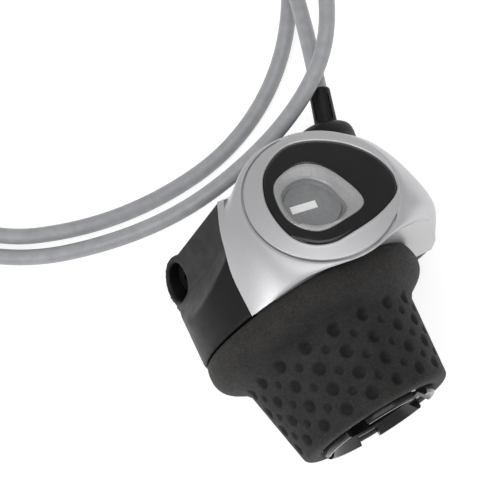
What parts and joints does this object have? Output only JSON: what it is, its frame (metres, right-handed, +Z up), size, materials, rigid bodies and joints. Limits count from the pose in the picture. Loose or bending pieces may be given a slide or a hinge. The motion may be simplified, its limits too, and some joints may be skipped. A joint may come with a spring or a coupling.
{
  "type": "bicycle twist shifter",
  "caption": "Twist-grip handlebar gear shifter with a dimpled rubber grip, silver display cover, bar clamp and grey outer cable.",
  "frame": {"origin": "centre of the clamp collar on the handlebar axis", "axes": "+X outboard along the bar to the grip end, +Y forward, +Z up; right-hand unit"},
  "size_m": [0.2057, 0.1355, 0.0564],
  "materials": {
    "black_plastic": "fine matte grain",
    "silver_cover": "satin silver",
    "gloss_black": "high gloss",
    "black_screw": "black oxide",
    "steel": "plain",
    "silver_trim": "satin",
    "lens": "clear",
    "dial_grey": "satin",
    "dial_white": "plain",
    "gear_plastic": "moulded acetal",
    "rubber": "matte, dusty",
    "sleeve_black": "gloss",
    "cable_grey": "satin",
    "tie_black": "plain"
  },
  "bodies": {
    "housing": {"lower_housing": "black_plastic", "clamp_nut": "steel", "housing_cover": "silver_cover", "cover_screws": "steel", "bezel_ring": "silver_trim", "display_panel": "gloss_black", "window_ring": "silver_trim", "window_lens": "lens", "dial_cup": "dial_grey", "indicator_base": "black_plastic", "gear_pins": "steel", "detent_spring": "steel", "thrust_washer": "gear_plastic", "retaining_ring": "steel", "cable_guide": "gear_plastic", "guide_wire": "steel", "outlet_boot": "black_plastic", "adjuster_spring": "steel", "cable_housing": "cable_grey", "cable_coil": "cable_grey", "cable_tail": "cable_grey", "coil_ties": "tie_black", "end_ferrule": "steel"},
    "grip": {"rubber_grip": "rubber", "twist_sleeve": "sleeve_black", "cable_drum": "gear_plastic", "wire_nipple": "steel", "drum_wire": "steel"},
    "dial": {"indicator_dial": "dial_grey", "indicator_pointer": "dial_white"},
    "idler": {"idler_gear": "gear_plastic"},
    "pinch_screw": {"clamp_screw": "black_screw"},
    "adjuster": {"adjuster_barrel": "black_plastic"},
    "inner_wire": {"wire_end": "steel"}
  },
  "joints": [
    {"name": "grip_twist", "type": "hinge", "parent": "housing", "child": "grip", "pos_m": [0, 0, 0], "axis": [1, 0, 0], "range_deg": [0, 98]},
    {"name": "dial_turn", "type": "hinge", "parent": "housing", "child": "dial", "pos_m": [0.00456, 0.01365, 0.02173], "axis": [-0.256, 0.29, 0.9221], "range_deg": [0, 203.6]},
    {"name": "idler_turn", "type": "hinge", "parent": "housing", "child": "idler", "pos_m": [0.00397, 0.00608, 0.01933], "axis": [-0.256, 0.29, 0.9221], "range_deg": [-407.2, 0]},
    {"name": "wire_slide", "type": "slide", "parent": "housing", "child": "inner_wire", "axis": [0, -0.9963, 0.0865], "range_m": [0, 0.02652]},
    {"name": "pinch_screw_turn", "type": "hinge", "parent": "housing", "child": "pinch_screw", "pos_m": [-0.0018, -0.00849, -0.01212], "axis": [0, -0.8192, 0.5736], "continuous": true},
    {"name": "adjuster_turn", "type": "hinge", "parent": "housing", "child": "adjuster", "pos_m": [-0.027, 0.031, -0.0155], "axis": [-0.936, 0.352, 0], "continuous": true}
  ],
  "couplings": [
    {"joint": "dial_turn", "follows": "grip_twist", "ratio": 2.0769},
    {"joint": "idler_turn", "follows": "grip_twist", "ratio": -4.1538},
    {"joint": "wire_slide", "follows": "grip_twist", "m_per_rad": 0.0155}
  ]
}
